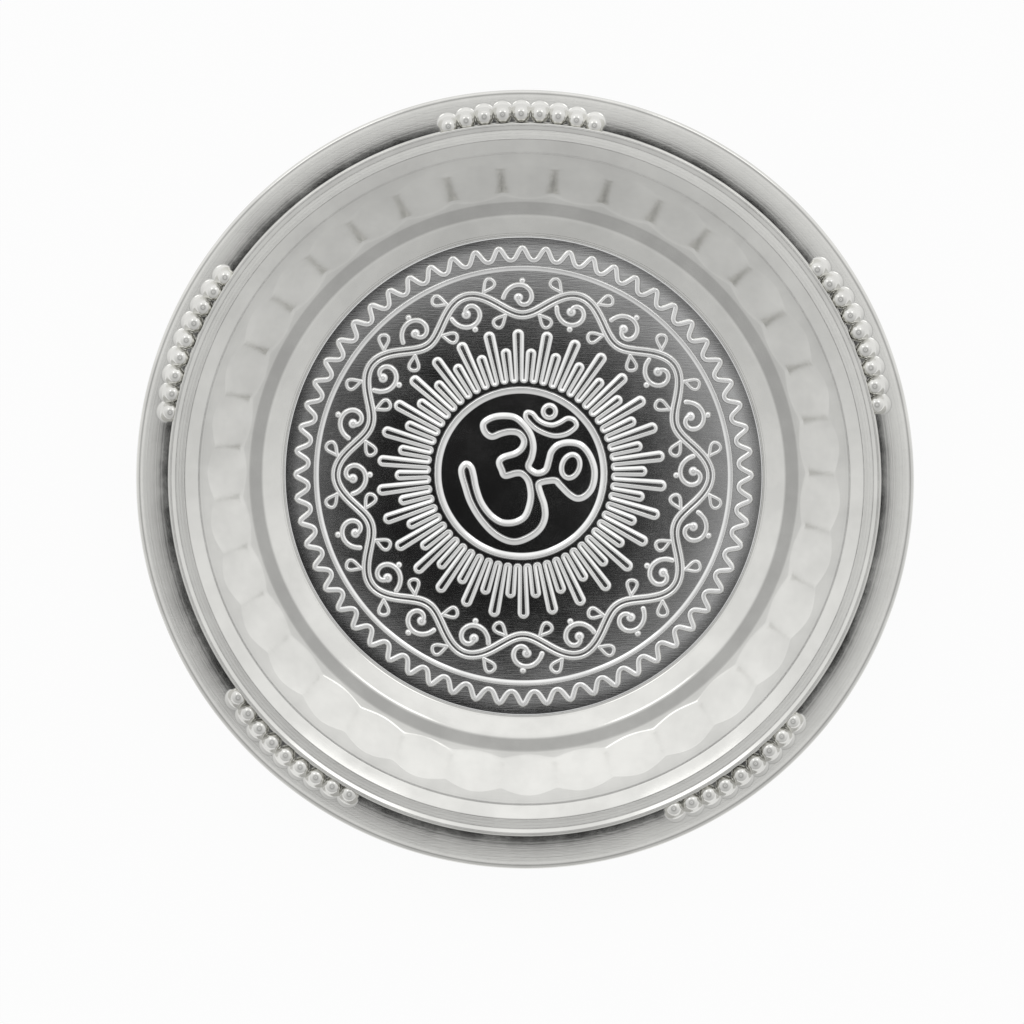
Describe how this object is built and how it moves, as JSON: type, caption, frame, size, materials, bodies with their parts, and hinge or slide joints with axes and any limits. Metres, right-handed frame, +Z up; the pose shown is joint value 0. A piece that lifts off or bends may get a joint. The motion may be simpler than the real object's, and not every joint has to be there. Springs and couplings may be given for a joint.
{
  "type": "puja thali",
  "caption": "Round steel offering dish with a fluted well, an embossed floor disc with the om sign in rays, rows of beads on a stepped brim and a rolled edge.",
  "frame": {"origin": "centre of the flat underside of the floor, where the dish rests on a table", "axes": "+Z points up out of the well; +Y points to the top of the sign on the floor disc; +X points to the sign's right, seen from above"},
  "size_m": [0.17, 0.17, 0.015],
  "materials": {
    "dish_steel": "pressed stainless sheet, polished to a satin with fine turned lines on the collar",
    "wire_steel": "plain drawn steel wire, hidden inside the rolled edge",
    "disc_steel": "embossed stainless sheet with a mirror polish",
    "bead_steel": "mirror-polished stainless steel"
  },
  "bodies": {
    "root": {"dish": "dish_steel", "rim_wire": "wire_steel", "floor_disc": "disc_steel", "bead_row_1": "bead_steel", "bead_row_2": "bead_steel", "bead_row_3": "bead_steel", "bead_row_4": "bead_steel", "bead_row_5": "bead_steel"}
  },
  "joints": []
}
